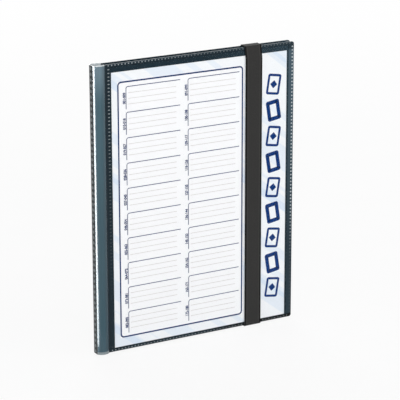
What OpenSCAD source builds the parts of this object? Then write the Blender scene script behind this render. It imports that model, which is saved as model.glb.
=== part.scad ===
// Trading card album: two soft film covers on a rounded spine, a stack of pocket leaves,
// an index sheet behind the clear front film, and a flat elastic band riveted to the back cover.
// The album stands upright. X runs from the spine to the fore-edge, the front cover faces -Y, Z is up.

/* [Index sheet] */
// Width of the printed index sheet
sheet_w = 210; // [180:1:240]
// Height of the index sheet
sheet_h = 297; // [250:1:330]
// Thickness of the index sheet
sheet_t = 0.15; // [0.1:0.01:0.3]
// Play of the sheet on each of its two faces
sheet_play = 0.05; // [0.02:0.01:0.2]
// Gap between the sheet and the welds at its hinge side and its foot
sheet_clear = 0.5; // [0.2:0.1:2]
// Spare width of the sheet's pocket, towards the fore-edge
sheet_spare_w = 2.7; // [0.5:0.1:10]
// Spare height of the sheet's pocket, above the sheet
sheet_spare_h = 5.7; // [0.5:0.1:15]

/* [Covers] */
// Thickness of the outer film of a cover
film_t = 0.3; // [0.2:0.05:0.5]
// Thickness of the dark lining of a cover
lining_t = 0.65; // [0.4:0.05:1.2]
// Width of the weld along the hinge
seam_hinge = 5.8; // [4:0.1:10]
// Width of the weld along the fore-edge
seam_fore = 6; // [4:0.1:10]
// Width of the welds along the top and the bottom
seam_end = 3.4; // [2:0.1:8]
// Radius of the covers' corners at the fore-edge
corner_r = 2.5; // [1:0.5:10]

/* [Spine] */
// Thickness of the smoky spine film
spine_film_t = 0.6; // [0.4:0.05:1]
// How far the rounded spine stands proud of each cover
spine_bulge = 3.3; // [2:0.1:8]
// Slope of the spine film where it runs down to the hinge line
spine_slope = 41; // [30:1:60]
// Width of the flat weld along the back of the spine
spine_seam_w = 7.6; // [4:0.1:10]
// Gap between the spine film and the round edge of a cover's film
hinge_gap = 0.25; // [0.1:0.05:0.6]

/* [Binding] */
// Width of the welded foot that joins the binding to the spine film
binding_foot_w = 3.5; // [2:0.1:4]
// Length of that foot
binding_foot_l = 2; // [1.5:0.1:4]
// Distance from the covers' ends to the binding's ends
binding_inset = 1.5; // [0.5:0.1:8]

/* [Leaves] */
// Number of pocket leaves
leaf_count = 20; // [4:2:24]
// Thickness of one leaf film
leaf_film_t = 0.12; // [0.08:0.01:0.2]
// Gap between two leaves
leaf_gap = 0.08; // [0.05:0.01:0.2]
// Gap between the stack of leaves and each cover
stack_gap = 0.35; // [0.2:0.05:1]
// Gap between a leaf's round root and the binding, and between the outer leaves and an open cover
root_gap = 0.2; // [0.1:0.02:0.4]
// Distance from the covers' ends to the leaves' ends
leaf_inset_end = 7; // [4:0.5:15]
// Distance from the covers' fore-edge to the leaves' fore-edge
leaf_inset_fore = 6; // [3:0.5:15]
// Radius of the leaves' corners at the fore-edge
leaf_corner_r = 5; // [2:0.5:10]
// Rows of pockets on a leaf
pocket_rows = 3; // [2:1:4]
// Bare margin between a leaf's root and its pockets
pocket_margin = 6; // [4:0.5:15]
// Bare stretch above each row, where the pockets open
pocket_mouth = 4; // [2:0.5:10]

/* [Elastic band] */
// Width of the band
band_w = 20; // [10:1:30]
// Thickness of the band
band_t = 0.9; // [0.5:0.1:2]
// Gap between the band and the covers that it goes round
band_gap = 0.25; // [0.1:0.05:0.6]
// Distance from the fore-edge to the middle of the band
band_setback = 50; // [30:1:100]
// Length of the band's tabs on the back cover
band_tab = 30; // [22:1:60]

/* [Rivets] */
// Diameter of a rivet's shank
rivet_d = 3; // [2:0.1:5]
// Diameter of a rivet's head and of its foot
rivet_head_d = 7; // [6:0.1:12]
// Thickness of a rivet's head
rivet_head_t = 0.7; // [0.4:0.1:1.5]
// Chamfer of a rivet's head
rivet_chamfer = 0.3; // [0.1:0.05:0.4]
// Thickness of a rivet's foot, which is sunk in the lining
rivet_foot_t = 0.3; // [0.2:0.05:0.5]
// Distance from the covers' ends to the rivets
rivet_inset = 15; // [10:1:20]
// Radial clearance of the rivets in their holes
rivet_clear = 0.1; // [0.05:0.01:0.3]

/* [Hidden] */
$fn = 64;
// Overlap of a cut with the face that it starts from
cut = 1;

// Covers
pocket_t = sheet_t + 2 * sheet_play;
cover_t = film_t + pocket_t + lining_t;
cover_w = seam_hinge + sheet_clear + sheet_w + sheet_spare_w + seam_fore;
cover_h = seam_end + sheet_clear + sheet_h + sheet_spare_h + seam_end;

// Stack of leaves, from the front cover to the back cover
leaf_pitch = 2 * leaf_film_t + leaf_gap;
stack_t = leaf_count * leaf_pitch - leaf_gap;
album_t = stack_t + 2 * (stack_gap + cover_t);
face_y = album_t / 2;

// Round back of the spine, and the film's end beside the hinge line
spine_r = face_y + spine_bulge;
spine_back = sqrt(spine_r * spine_r - spine_seam_w * spine_seam_w / 4);
spine_end = (spine_r - face_y * cos(spine_slope)) / sin(spine_slope);
spine_depth = spine_back + spine_end + hinge_gap + film_t / 2;

// Places along X, with the origin in the middle of the closed album
back_x = -(spine_depth + cover_w) / 2;
spine_x = back_x + spine_back;
hinge_x = back_x + spine_depth;
fore_x = hinge_x + cover_w;
band_x = fore_x - band_setback;

// Height of the covers' foot above the lowest bend of the band, whose bends turn about the covers' edges
foot_z = band_t + band_gap;
hinge_y = face_y - film_t / 2;

// Leaf roots lie on an arc, so that the leaves can fan out without touching
root_r = leaf_film_t;
root_arc_r = stack_t;
root_arc_x = hinge_x + cover_t + root_gap - sqrt(root_arc_r * root_arc_r - stack_t * stack_t / 4);
binding_face_r = root_arc_r - root_r - root_gap;
leaf_h = cover_h - 2 * leaf_inset_end;
leaf_end_x = fore_x - leaf_inset_fore;
row_h = leaf_h / pocket_rows;

function leaf_y(i) = -stack_t / 2 + 1.5 * leaf_film_t + (i - 1) * leaf_pitch;
function leaf_x(i) = root_arc_x + sqrt(root_arc_r * root_arc_r - leaf_y(i) * leaf_y(i));
function leaf_name(i) = str("leaf_", i < 10 ? "0" : "", i);

// Flat outline of width w and height h, with its two corners at the far side rounded
module panel(w, h, r, sides = $fn) {
    square([w - r, h]);
    translate([0, r])
        square([w, h - 2 * r]);
    for (y = [r, h - r])
        translate([w - r, y])
            circle(r, $fn = sides);
}

// Stands a flat outline upright, with its face at y and its thickness t towards +Y
module upright(x, y, z, t) {
    translate([x, y + t, z])
        rotate([90, 0, 0])
            linear_extrude(t)
                children();
}

// Outline of the spine, drawn in by a wall: a round back with a flat weld, run out to the hinge lines
module spine_outline(wall, run_out) {
    r = spine_r - wall;
    end_y = face_y - wall / cos(spine_slope);
    tangent_x = r * sin(spine_slope);
    tangent_y = r * cos(spine_slope);
    intersection() {
        translate([spine_x, 0])
            union() {
                circle(r);
                polygon([
                    [0, 0],
                    [tangent_x, -tangent_y],
                    [spine_end, -end_y],
                    [spine_end + run_out, -end_y],
                    [spine_end + run_out, end_y],
                    [spine_end, end_y],
                    [tangent_x, tangent_y]
                ]);
            }
        translate([back_x + wall, -2 * spine_r])
            square([spine_back + spine_end + run_out, 4 * spine_r]);
    }
}

module spine_film() {
    color([0.33, 0.43, 0.47])
        translate([0, 0, foot_z])
            linear_extrude(cover_h)
                difference() {
                    spine_outline(0, 0);
                    spine_outline(spine_film_t, cut);
                    translate([spine_x + spine_end, -2 * spine_r])
                        square([spine_r, 4 * spine_r]);
                }
}

module page_binding() {
    foot_x = back_x + spine_film_t;
    block_x = foot_x + binding_foot_l;
    color([0.78, 0.82, 0.84])
        translate([0, 0, foot_z + binding_inset])
            linear_extrude(cover_h - 2 * binding_inset) {
                translate([foot_x, -binding_foot_w / 2])
                    square([binding_foot_l + cut, binding_foot_w]);
                translate([block_x, -stack_t / 2])
                    square([root_arc_x - block_x, stack_t]);
                intersection() {
                    translate([root_arc_x, 0])
                        circle(binding_face_r);
                    translate([root_arc_x - cut, -stack_t / 2])
                        square([binding_face_r + 2 * cut, stack_t]);
                }
            }
}

// Outer film of a front cover, with a round edge on the hinge line
module cover_film() {
    upright(hinge_x, -face_y, foot_z, film_t)
        panel(cover_w, cover_h, corner_r);
    translate([hinge_x, -hinge_y, foot_z])
        cylinder(r = film_t / 2, h = cover_h);
}

module front_window_film() {
    color([0.88, 0.93, 0.95, 0.3])
        cover_film();
}

module index_sheet() {
    color([0.96, 0.98, 0.99])
        translate([
            hinge_x + seam_hinge + sheet_clear,
            -face_y + film_t + sheet_play,
            foot_z + seam_end + sheet_clear
        ])
            cube([sheet_w, sheet_t, sheet_h]);
}

// Dark lining of the front cover, with a shallow pocket between its welds
module front_lining() {
    color([0.17, 0.22, 0.25])
        difference() {
            upright(hinge_x, -face_y + film_t, foot_z, pocket_t + lining_t)
                panel(cover_w, cover_h, corner_r);
            translate([hinge_x + seam_hinge, -face_y + film_t - cut, foot_z + seam_end])
                cube([cover_w - seam_hinge - seam_fore, pocket_t + cut, cover_h - 2 * seam_end]);
        }
}

// Places children at the two rivets, with Z pointing out of the back cover
module at_rivets() {
    for (z = [foot_z + rivet_inset, foot_z + cover_h - rivet_inset])
        translate([band_x, face_y, z])
            rotate([-90, 0, 0])
                children();
}

// Holes for the rivets' shanks, through the back cover and the band's tabs
module rivet_holes() {
    at_rivets()
        translate([0, 0, -cover_t - cut])
            cylinder(d = rivet_d + 2 * rivet_clear, h = cover_t + band_t + 2 * cut);
}

module back_outer_film() {
    color([0.24, 0.31, 0.34, 0.6])
        difference() {
            mirror([0, 1, 0])
                cover_film();
            rivet_holes();
        }
}

// Dark lining of the back cover, with a seat for each rivet's foot
module back_lining() {
    color([0.17, 0.22, 0.25])
        difference() {
            upright(hinge_x, face_y - cover_t, foot_z, cover_t - film_t)
                panel(cover_w, cover_h, corner_r);
            rivet_holes();
            at_rivets()
                translate([0, 0, -cover_t - cut])
                    cylinder(d = rivet_head_d + 2 * rivet_clear, h = rivet_foot_t + cut);
        }
}

// Rectangle from one corner to the other, with round corners
module round_rectangle(low, high, r) {
    size = high - low;
    translate(low + [r, 0])
        square([size.x - 2 * r, size.y]);
    translate(low + [0, r])
        square([size.x, size.y - 2 * r]);
    for (x = [low.x + r, high.x - r], y = [low.y + r, high.y - r])
        translate([x, y])
            circle(r);
}

// Band round the front and both ends of the album, with two tabs on the back cover
module elastic_band() {
    top_z = foot_z + cover_h + foot_z;
    inner_low = [-face_y - band_gap, band_t];
    inner_high = [face_y, top_z - band_t];
    wall = [band_t, band_t];
    color([0.23, 0.22, 0.23])
        difference() {
            translate([band_x - band_w / 2, 0, 0])
                rotate([90, 0, 90])
                    linear_extrude(band_w)
                        difference() {
                            round_rectangle(inner_low - wall, inner_high + wall, foot_z);
                            round_rectangle(inner_low, inner_high, band_gap);
                            translate([0, foot_z + band_tab])
                                square([2 * face_y, cover_h - 2 * band_tab]);
                        }
            rivet_holes();
        }
}

// Rivets with a chamfered head on the band and a foot sunk in the lining
module band_rivets() {
    head_r = rivet_head_d / 2;
    color([0.62, 0.63, 0.64])
        at_rivets() {
            translate([0, 0, band_t])
                cylinder(r = head_r, h = rivet_head_t - rivet_chamfer);
            translate([0, 0, band_t + rivet_head_t - rivet_chamfer])
                cylinder(r1 = head_r, r2 = head_r - rivet_chamfer, h = rivet_chamfer);
            translate([0, 0, -cover_t])
                cylinder(d = rivet_d, h = cover_t + band_t + rivet_chamfer);
            translate([0, 0, -cover_t])
                cylinder(r = head_r, h = rivet_foot_t);
        }
}

// Outline of leaf i, from its root to its fore-edge
module leaf_outline(i) {
    panel(leaf_end_x - leaf_x(i), leaf_h, leaf_corner_r, 12);
}

// Backing film of a leaf, with a half-round root on its hinge line
module leaf_sheet(i) {
    z = foot_z + leaf_inset_end;
    color([0.86, 0.9, 0.92, 0.5]) {
        upright(leaf_x(i), leaf_y(i) - leaf_film_t / 2, z, leaf_film_t)
            leaf_outline(i);
        translate([leaf_x(i), leaf_y(i), z])
            linear_extrude(leaf_h)
                intersection() {
                    circle(root_r);
                    translate([-2 * root_r, -2 * root_r])
                        square([2 * root_r, 4 * root_r]);
                }
    }
}

// Pocket films of a leaf, one strip to a row, lying on the front of its backing film
module leaf_pockets(i) {
    color([0.92, 0.95, 0.97, 0.4])
        upright(leaf_x(i), leaf_y(i) - 1.5 * leaf_film_t, foot_z + leaf_inset_end, leaf_film_t)
            intersection() {
                leaf_outline(i);
                for (row = [0 : pocket_rows - 1])
                    translate([pocket_margin, row * row_h])
                        square([leaf_end_x - leaf_x(i), row_h - pocket_mouth]);
            }
}

spine_film();
page_binding();
front_window_film();
index_sheet();
front_lining();
back_outer_film();
back_lining();
elastic_band();
band_rivets();
for (i = [1 : leaf_count]) {
    leaf_sheet(i);
    leaf_pockets(i);
}
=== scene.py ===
# %% [markdown]
# # A trading card album
# This lesson dresses a packed CAD model of a pocket album: two film covers on a rounded spine, a printed
# index sheet behind the clear front film, twenty clear pocket leaves and a flat elastic band. The CAD model
# is the fixed frame, and it is loaded first.

# %% Load the packed model
import math

import bmesh
import bpy
from mathutils import Matrix, Vector


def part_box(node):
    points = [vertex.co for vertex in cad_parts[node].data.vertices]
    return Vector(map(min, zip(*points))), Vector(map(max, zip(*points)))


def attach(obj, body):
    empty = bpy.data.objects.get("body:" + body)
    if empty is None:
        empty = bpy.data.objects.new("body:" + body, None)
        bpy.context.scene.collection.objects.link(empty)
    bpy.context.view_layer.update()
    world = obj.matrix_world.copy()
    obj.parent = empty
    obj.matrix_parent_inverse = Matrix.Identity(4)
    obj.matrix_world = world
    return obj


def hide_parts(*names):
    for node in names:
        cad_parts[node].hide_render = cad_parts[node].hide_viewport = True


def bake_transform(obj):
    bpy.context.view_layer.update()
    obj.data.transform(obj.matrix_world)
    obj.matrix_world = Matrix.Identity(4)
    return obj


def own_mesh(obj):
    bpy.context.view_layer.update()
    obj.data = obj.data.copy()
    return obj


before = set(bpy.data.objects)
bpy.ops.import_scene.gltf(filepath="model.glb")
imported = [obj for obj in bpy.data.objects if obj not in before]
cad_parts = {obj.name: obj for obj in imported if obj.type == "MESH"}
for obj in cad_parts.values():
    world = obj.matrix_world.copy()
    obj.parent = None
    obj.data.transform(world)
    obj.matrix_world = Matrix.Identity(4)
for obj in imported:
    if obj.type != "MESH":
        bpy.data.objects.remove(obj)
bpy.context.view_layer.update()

# %% [markdown]
# ## Measures
# Pieces are easier to think about in millimetres, so every bmesh below is drawn in millimetres and scaled
# to metres as its last step. Places come from the boxes of the CAD nodes. Only what a box can't tell, such
# as the width of a weld, is written as a number.

# %% Places read from the CAD nodes
MM = 0.001


def box_mm(node):
    """Lowest and highest corner of a CAD node, in millimetres."""
    low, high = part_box(node)
    return low / MM, high / MM


film_low, film_high = box_mm("front_window_film")
sheet_low, sheet_high = box_mm("index_sheet")
spine_low, spine_high = box_mm("spine_film")
band_low, band_high = box_mm("elastic_band")

FILM_T = film_high.y - film_low.y
HINGE_X = film_low.x + FILM_T / 2  # the film's edge is rounded about its hinge line
FORE_X = film_high.x
FOOT_Z = film_low.z
TOP_Z = film_high.z
FRONT_Y = film_low.y
REAR_Y = box_mm("back_outer_film")[1].y
ALBUM_T = REAR_Y - FRONT_Y
SPINE_WELD_HALF = 3.8
SPINE_R = spine_high.y
SPINE_X = spine_low.x + math.sqrt(SPINE_R ** 2 - SPINE_WELD_HALF ** 2)
print(f"covers: {FORE_X - HINGE_X:.1f} x {TOP_Z - FOOT_Z:.1f} mm, album {ALBUM_T:.2f} mm thick")

# %% [markdown]
# ## Camera
# The album was photographed from the left of its front cover and from a little above, with a long lens, so
# that its upright edges stay almost parallel. The direction and the distance were fitted to the corners of
# the covers and of the sheet. A look along the open leaves passes some eighty faces of clear film, so a ray
# may cross that many and a few more.

# %% Camera
LENS_MM = 179.37
SENSOR_MM = 36.0
VIEW_LEFT = math.radians(29.777)
VIEW_UP = math.radians(16.714)
VIEW_ROLL = math.radians(-0.095)
VIEW_DISTANCE = 2.114
VIEW_AIM = Vector((0.00692, 0.0, 0.15066))
FILM_FACES = 96


def add_object(name, data):
    """A new object in the scene."""
    made = bpy.data.objects.new(name, data)
    bpy.context.scene.collection.objects.link(made)
    return made


towards = Vector((
    math.sin(VIEW_LEFT) * math.cos(VIEW_UP),
    math.cos(VIEW_LEFT) * math.cos(VIEW_UP),
    -math.sin(VIEW_UP),
))
roll = Matrix.Rotation(VIEW_ROLL, 3, "Z").to_quaternion()
camera = add_object("camera", bpy.data.cameras.new("camera"))
camera.data.lens = LENS_MM
camera.data.sensor_width = SENSOR_MM
camera.rotation_mode = "QUATERNION"
camera.location = VIEW_AIM - towards * VIEW_DISTANCE
camera.rotation_quaternion = towards.to_track_quat("-Z", "Y") @ roll
bpy.context.scene.camera = camera
bpy.context.scene.view_settings.view_transform = "Standard"
bpy.context.scene.cycles.transparent_max_bounces = FILM_FACES
print("camera at", tuple(round(c, 3) for c in camera.location))

# %% [markdown]
# ## A short way to write materials
# A material is a tree of nodes. Wiring each node by hand takes many lines, so two small classes do it.
# `Wire` stands for the output of a node, and sums on wires add Math nodes, so that `1 - mask` works.
# `Finish` owns one tree and adds any other node by its type, its settings and its sockets.


# %% Wires
class Wire:
    """The output of a node. An expression on wires adds its Math nodes."""

    def __init__(self, finish, socket):
        self.finish = finish
        self.socket = socket

    def math(self, operation, first, second=0.0):
        return self.finish.node("ShaderNodeMath", {"operation": operation}, {0: first, 1: second})

    def __add__(self, other):
        return self.math("ADD", self, other)

    def __sub__(self, other):
        return self.math("SUBTRACT", self, other)

    def __rsub__(self, other):
        return self.math("SUBTRACT", other, self)

    def __mul__(self, other):
        return self.math("MULTIPLY", self, other)

    def __truediv__(self, other):
        return self.math("DIVIDE", self, other)

    def __rtruediv__(self, other):
        return self.math("DIVIDE", other, self)

    def __mod__(self, other):
        return self.math("FLOORED_MODULO", self, other)

    def __rmod__(self, other):
        return self.math("FLOORED_MODULO", other, self)

    def __abs__(self):
        return self.math("ABSOLUTE", self)

    def sine(self):
        return self.math("SINE", self)

    def wave(self, pitch):
        """1 at every multiple of a pitch, and 0 half way between two."""
        return abs((self / pitch) % 1.0 - 0.5) * 2

    def highest(self, other):
        return self.math("MAXIMUM", self, other)

    def lowest(self, other):
        return self.math("MINIMUM", self, other)

    __radd__ = __add__
    __rmul__ = __mul__


print("wires add Math nodes for + - * / and %")


# %% Finishes
class Finish:
    """The node tree of a material or a world."""

    def __init__(self, owner):
        owner.use_nodes = True
        self.owner = owner
        self.tree = owner.node_tree
        self.tree.nodes.clear()

    def node(self, kind, settings=None, sockets=None, out=0):
        """Adds a node: its settings are set first, then the values or links of its sockets."""
        made = self.tree.nodes.new(kind)
        for name, value in (settings or {}).items():
            setattr(made, name, value)
        for name, value in (sockets or {}).items():
            if isinstance(value, Wire):
                self.tree.links.new(value.socket, made.inputs[name])
            else:
                made.inputs[name].default_value = value
        return Wire(self, made.outputs[out])

    def place(self):
        """Object coordinates, in millimetres."""
        at = self.node("ShaderNodeTexCoord", out="Object")
        return self.node("ShaderNodeVectorMath", {"operation": "SCALE"}, {0: at, "Scale": 1 / MM})

    def axes(self, place):
        """The three coordinates of a place, as wires."""
        return [self.node("ShaderNodeSeparateXYZ", sockets={0: place}, out=axis) for axis in "XYZ"]

    def stretched(self, place, scale):
        return self.node("ShaderNodeMapping", sockets={"Vector": place, "Scale": scale})

    def noise(self, place, scale, detail=2.0):
        return self.node("ShaderNodeTexNoise", sockets={"Vector": place, "Scale": scale, "Detail": detail})

    def step(self, value, low, high):
        """0 below low, 1 above high, and smooth between them."""
        return self.node(
            "ShaderNodeMapRange",
            {"interpolation_type": "SMOOTHSTEP"},
            {"Value": value, "From Min": low, "From Max": high},
        )

    def between(self, share, first, second):
        """A colour between two colours."""
        return self.node("ShaderNodeMix", {"data_type": "RGBA"}, {0: share, 6: first, 7: second}, out=2)

    def bump(self, height, depth):
        """A normal from a height of 0 to 1 that is depth millimetres high."""
        return self.node("ShaderNodeBump", sockets={"Height": height, "Distance": depth * MM})

    def surface(self, **sockets):
        named = {name.replace("_", " "): value for name, value in sockets.items()}
        return self.node("ShaderNodeBsdfPrincipled", sockets=named)

    def see_through(self, share, shader):
        """Lets light straight through, apart from a share that meets the shader."""
        clear = self.node("ShaderNodeBsdfTransparent")
        return self.node("ShaderNodeMixShader", sockets={0: share, 1: clear, 2: shader})

    def show(self, shader, kind="ShaderNodeOutputMaterial"):
        end = self.tree.nodes.new(kind)
        self.tree.links.new(shader.socket, end.inputs["Surface"])

    def seen(self):
        """1 for rays from the camera and for those that a mirror or glass sends on."""
        kinds = ("Is Camera Ray", "Is Glossy Ray", "Is Transmission Ray")
        camera_ray, mirror_ray, glass_ray = [self.node("ShaderNodeLightPath", out=kind) for kind in kinds]
        return camera_ray.highest(mirror_ray).highest(glass_ray)


print("a finish can do:", [name for name in vars(Finish) if not name.startswith("__")])


# %% Materials and colours
def material(name):
    return Finish(bpy.data.materials.new(name))


def tint(red, green, blue):
    """A screen colour of 0 to 255 as the linear colour that a shader takes."""
    def linear(channel):
        share = channel / 255
        return share / 12.92 if share <= 0.04045 else ((share + 0.055) / 1.055) ** 2.4
    return (linear(red), linear(green), linear(blue), 1.0)


print("a mid grey of 128 is", round(tint(128, 128, 128)[0], 3), "in linear light")

# %% [markdown]
# ## Floor, world and lamps
# Product photographs of this kind stand on a white sweep under large soft lamps. The world shows white to
# the camera and in reflections, and lights the album at a lower level. The floor is pale and keeps a soft
# shadow. A narrow lamp close to the left of the spine only shows in reflections. It draws the thin bright
# line down the spine's round back, and adds no light to the film around it. It is linked to the spine
# later, so that it shows in no other surface.

# %% World
WHITE = tint(255, 255, 255)
WORLD_LIGHT = 0.5

sky = Finish(bpy.data.worlds.new("sweep"))
strength = sky.seen() * (1 - WORLD_LIGHT) + WORLD_LIGHT
glow = sky.node("ShaderNodeBackground", sockets={"Color": WHITE, "Strength": strength})
sky.show(glow, "ShaderNodeOutputWorld")
bpy.context.scene.world = sky.owner
print("world lights the album at", WORLD_LIGHT)

# %% Floor
FLOOR_HALF = 30.0
FLOOR_GLOW = 0.88
GLOW_NEAR = 700
GLOW_FAR = 2500


def mesh_of(bm, name):
    """Ends a bmesh and returns its mesh."""
    mesh = bpy.data.meshes.new(name)
    bm.to_mesh(mesh)
    bm.free()
    return mesh


paint = material("floor_paint")
at = paint.place()
grain = paint.noise(at, 0.02)
away = paint.node("ShaderNodeVectorMath", {"operation": "LENGTH"}, {0: at}, out="Value")
matt = paint.surface(
    Base_Color=paint.between(grain, tint(236, 237, 238), tint(246, 246, 246)),
    Roughness=0.9,
    Specular_IOR_Level=0.0,
)
white = paint.node("ShaderNodeEmission", sockets={"Color": WHITE, "Strength": 1.0})
glowing = paint.step(away, GLOW_NEAR, GLOW_FAR) * (1 - FLOOR_GLOW) + FLOOR_GLOW
paint.show(paint.node("ShaderNodeMixShader", sockets={0: paint.seen() * glowing, 1: matt, 2: white}))

bm = bmesh.new()
bmesh.ops.create_grid(bm, x_segments=1, y_segments=1, size=FLOOR_HALF)
floor = add_object("floor", mesh_of(bm, "floor"))
floor.data.materials.append(paint.owner)
print("floor", floor.dimensions[0], "m wide")

# %% Lamps
ALBUM_MIDDLE = (0, 0, 0.15)
LAMPS = [
    # name, place, aim, width, height, watts, lights matt surfaces
    ("key_lamp", (-2.0, -4.3, 1.5), ALBUM_MIDDLE, 2.8, 2.8, 99, True),
    ("fill_lamp", (3.0, -3.0, 1.6), ALBUM_MIDDLE, 2.4, 2.4, 37, True),
    ("rear_lamp", (1.4, 3.8, 2.4), ALBUM_MIDDLE, 2.8, 2.8, 88, True),
    ("gloss_strip", (-0.148, -0.009, 0.185), (-0.112, 0, 0.185), 0.0165, 0.369, 0.52, False),
]


def add_lamp(name, place, aim, width, height, watts, matt):
    lamp = bpy.data.lights.new(name, "AREA")
    lamp.shape = "RECTANGLE"
    lamp.size = width
    lamp.size_y = height
    lamp.energy = watts
    holder = add_object(name, lamp)
    holder.location = place
    holder.rotation_mode = "QUATERNION"
    holder.rotation_quaternion = (Vector(aim) - Vector(place)).to_track_quat("-Z", "Y")
    holder.visible_camera = False
    holder.visible_diffuse = matt
    return holder


lamps = {row[0]: add_lamp(*row) for row in LAMPS}
print("lamps:", list(lamps))

# %% [markdown]
# ## Smoky film
# The spine and the covers are polypropylene film of a smoky teal. It comes off a roller, so it has faint
# streaks along its length and a very fine sandy emboss. Near the spine's cut ends, the light that gets
# through the film is painted in as a paler tone, with a painted highlight on the cut lip. The spine keeps a
# gloss, its flat weld is a darker grey, and painted shade darkens it towards the hinges and down its lower
# part.


# %% Streaks, emboss and cut ends of a film
def ends_mask(finish, z, low, high, reach):
    """1 at the two cut ends of the film, falling to 0 a reach away from them."""
    return finish.step(z, low + reach, low).highest(finish.step(z, high - reach, high))


def sandy(finish, place):
    """Height of the film's fine emboss."""
    return finish.noise(place, 2.6, 3.0)


def streaky(finish, place, fine, along=0.02):
    """Streaks along the film."""
    return finish.noise(finish.stretched(place, (fine, fine, along)), 1.0, 3.0)


print("films have streaks, a fine emboss and cut ends")

# %% Smoky film of the spine
SMOKE = tint(44, 80, 92)
# paler film tone, for the streaks and for the painted light towards the ends
SMOKE_PALE = tint(104, 126, 138)
# colour of the painted shade on the spine
SMOKE_PAINTED_SHADE = tint(28, 54, 66)
SPINE_WELD = tint(15, 19, 21)
# painted highlight of the cut lip at the ends
CUT_LIP_HIGHLIGHT = tint(168, 176, 178)
# painted light on the inner face near the open ends
LIT_INSIDE = tint(214, 220, 222)

smoky_film = material("smoky_film")
at = smoky_film.place()
x, y, z = smoky_film.axes(at)
streaks = streaky(smoky_film, at, 1.6, 0.01)
flat = smoky_film.step(x, spine_low.x + 0.25, spine_low.x + 0.05)
level = smoky_film.node("ShaderNodeCombineXYZ", sockets={0: x - SPINE_X, 1: y})
from_axis = smoky_film.node("ShaderNodeVectorMath", {"operation": "LENGTH"}, {0: level}, out="Value")
inside = smoky_film.step(from_axis, SPINE_R - 0.2, SPINE_R - 0.4) * (1 - flat)
# Painted light: the film is painted paler towards its cut ends, as the light that gets through it there.
painted_light_top = smoky_film.step(z, TOP_Z - 44, TOP_Z) * 0.75
painted_light_foot = smoky_film.step(z, FOOT_Z + 34, FOOT_Z) * 0.15
# Painted shade: the film is painted darker towards the hinges and down its lower part.
painted_shade_by_hinge = smoky_film.step(x, spine_high.x - 8, spine_high.x - 1) * 0.7
painted_shade_lower = smoky_film.step(z, TOP_Z - 60, TOP_Z - 190) * 0.35
rubbed = smoky_film.step(z, FOOT_Z + 110, FOOT_Z + 10)
tone = smoky_film.between(painted_light_top + painted_light_foot + streaks * 0.2, SMOKE, SMOKE_PALE)
tone = smoky_film.between((painted_shade_by_hinge + painted_shade_lower).lowest(1.0), tone, SMOKE_PAINTED_SHADE)
tone = smoky_film.between(flat, tone, SPINE_WELD)
# Painted highlight: a pale lip along the foot and the top of the film, where its cut edge catches the
# light.
foot_lip_highlight = smoky_film.step(z, FOOT_Z + 3.4, FOOT_Z + 2.2)
top_lip_highlight = smoky_film.step(z, TOP_Z - 1.2, TOP_Z - 0.6) * 0.6
tone = smoky_film.between(foot_lip_highlight.highest(top_lip_highlight) * 0.55, tone, CUT_LIP_HIGHLIGHT)
# Painted light: the inner face near the open ends is painted pale, as the light that comes in there.
tone = smoky_film.between(inside * ends_mask(smoky_film, z, FOOT_Z, TOP_Z, 9.0), tone, LIT_INSIDE)
smoky_film.show(smoky_film.surface(
    Base_Color=tone,
    Roughness=streaks * 0.06 + flat * 0.25 + rubbed * 0.07 + 0.17,
    Normal=smoky_film.bump(sandy(smoky_film, at), 0.005),
    Coat_Weight=(1 - flat) * (0.25 - rubbed * 0.17),
    Coat_Roughness=0.1,
    Specular_IOR_Level=0.35,
))
print("smoky film mixes", SMOKE[:3], "and", SMOKE_PALE[:3])

# %% Dark lining of the covers
dark_lining = material("dark_lining")
at = dark_lining.place()
x, y, z = dark_lining.axes(at)
streaks = streaky(dark_lining, at, 0.5)
# Painted light and shade: the lining is painted lighter towards the fore edge, and by the fore edge lighter
# at the top and darker at the foot.
by_fore = dark_lining.step(x, FORE_X - 12, FORE_X - 6) * (dark_lining.step(z, 60, 260) * 0.5 - 0.3)
painted_light = dark_lining.step(x, 10, FORE_X - 8) * 0.38 + by_fore
dark_lining.show(dark_lining.surface(
    Base_Color=dark_lining.between(painted_light + streaks * 0.3, tint(18, 37, 46), tint(50, 70, 82)),
    Roughness=streaks * 0.12 + 0.34,
    Normal=dark_lining.bump(sandy(dark_lining, at), 0.004),
    Specular_IOR_Level=0.12,
))
print("dark lining made")

# %% [markdown]
# ## Clear front film with its welded border
# One sheet of film covers the whole front. In the middle it is clear, and shows the sheet behind it with a
# soft gloss. Along its four sides it is welded to the dark lining, so there it looks dark itself. One
# material does both: a mask of the welds decides how much of the light goes straight through.

# %% Front film
WELD_HINGE = 5.8
WELD_FORE = 7.0
WELD_END = 3.4
POCKET = (HINGE_X + WELD_HINGE, FORE_X - WELD_FORE, FOOT_Z + WELD_END, TOP_Z - WELD_END)


def weld_mask(finish, x, z, soft=0.25):
    """1 on the welds round the cover, 0 inside them."""
    left, right, low, high = POCKET
    sides = finish.step(x, left + soft, left - soft).highest(finish.step(x, right - soft, right + soft))
    ends = finish.step(z, low + soft, low - soft).highest(finish.step(z, high - soft, high + soft))
    return sides.highest(ends)


clear_film = material("clear_film")
at = clear_film.place()
x, y, z = clear_film.axes(at)
weld = weld_mask(clear_film, x, z)
streaks = streaky(clear_film, at, 0.8)
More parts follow.
